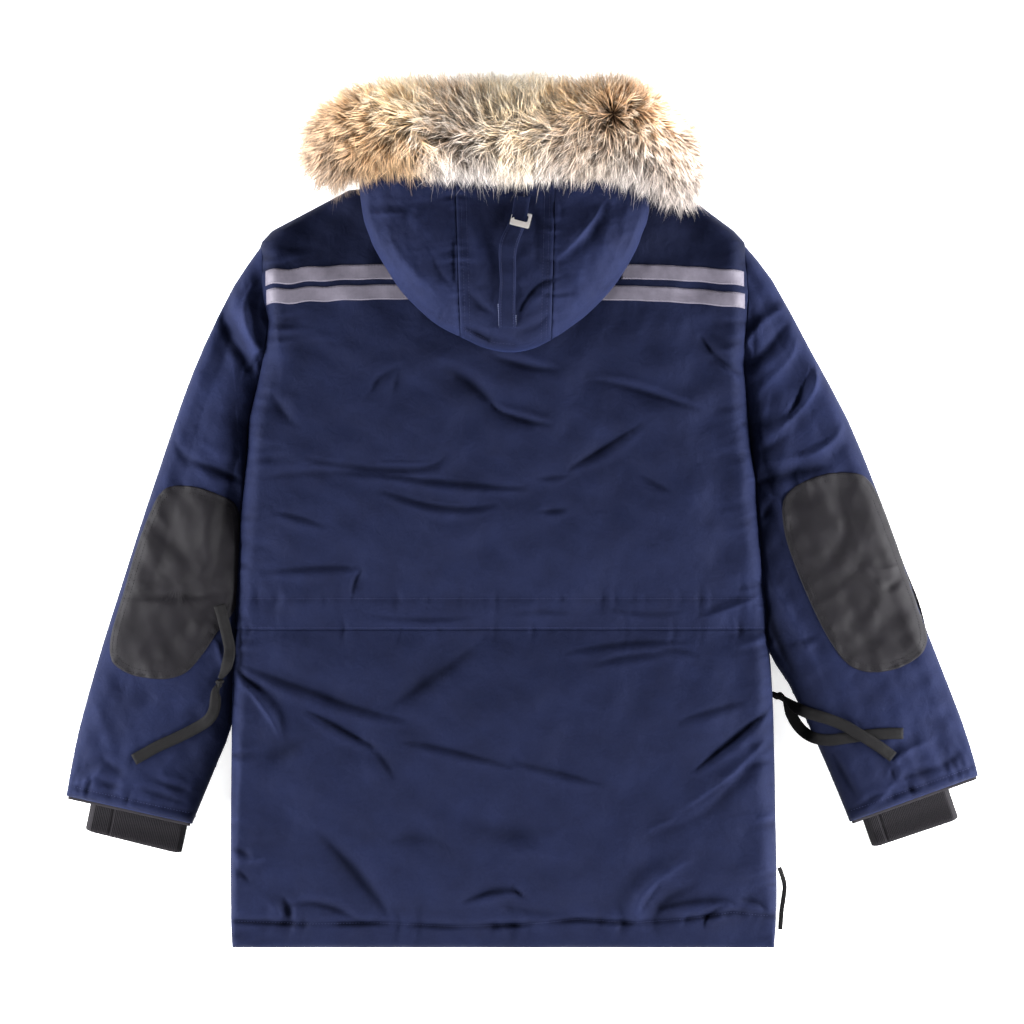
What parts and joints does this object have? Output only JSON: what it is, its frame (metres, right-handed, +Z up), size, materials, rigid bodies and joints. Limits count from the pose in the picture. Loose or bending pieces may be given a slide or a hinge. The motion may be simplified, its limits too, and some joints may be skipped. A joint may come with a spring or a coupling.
{
  "type": "fur-trimmed hooded parka",
  "caption": "Padded hooded parka laid flat, back up, hood folded on the upper back with a wide fur trim, elbow patches, knitted cuffs and waist ties.",
  "frame": {"origin": "middle of the parka's footprint on the surface it lies on", "axes": "+X towards the wearer's right sleeve, +Y from hem to hood, +Z up out of the back"},
  "size_m": [1.0038, 0.9528, 0.1501],
  "materials": {
    "shell": "navy peached cotton-nylon shell cloth over down",
    "zip_tape": "woven zip tape with moulded teeth",
    "patch": "charcoal coated nylon cloth",
    "reflective_tape": "matt grey reflective tape, stitched down",
    "rib_knit": "black rib knit",
    "facing": "dark grey facing cloth",
    "webbing": "black flat woven tie",
    "steel": "polished steel slider",
    "fur": "long-haired tan, brown and cream fur"
  },
  "bodies": {
    "root": {"back_lower": "shell", "back_upper": "shell", "front_left": "shell", "front_right": "shell", "sleeve_top_left": "shell", "sleeve_top_right": "shell", "sleeve_under_left": "shell", "sleeve_under_right": "shell", "hood_left": "shell", "hood_centre": "shell", "hood_right": "shell", "hood_under": "shell", "hood_strap": "shell", "collar": "shell", "front_zip": "zip_tape", "elbow_patch_left": "patch", "elbow_patch_right": "patch", "tape_left_upper": "reflective_tape", "tape_left_lower": "reflective_tape", "tape_right_upper": "reflective_tape", "tape_right_lower": "reflective_tape", "rib_cuff_left": "rib_knit", "rib_cuff_right": "rib_knit", "cuff_facing_left": "facing", "cuff_facing_right": "facing", "tie_left_upper": "webbing", "tie_left_lower": "webbing", "tie_right_upper": "webbing", "tie_right_lower": "webbing", "tie_knot_left": "webbing", "tie_knot_right": "webbing", "hem_pull": "webbing", "strap_slider": "steel", "fur_upper": "fur", "fur_lower": "fur"}
  },
  "joints": []
}
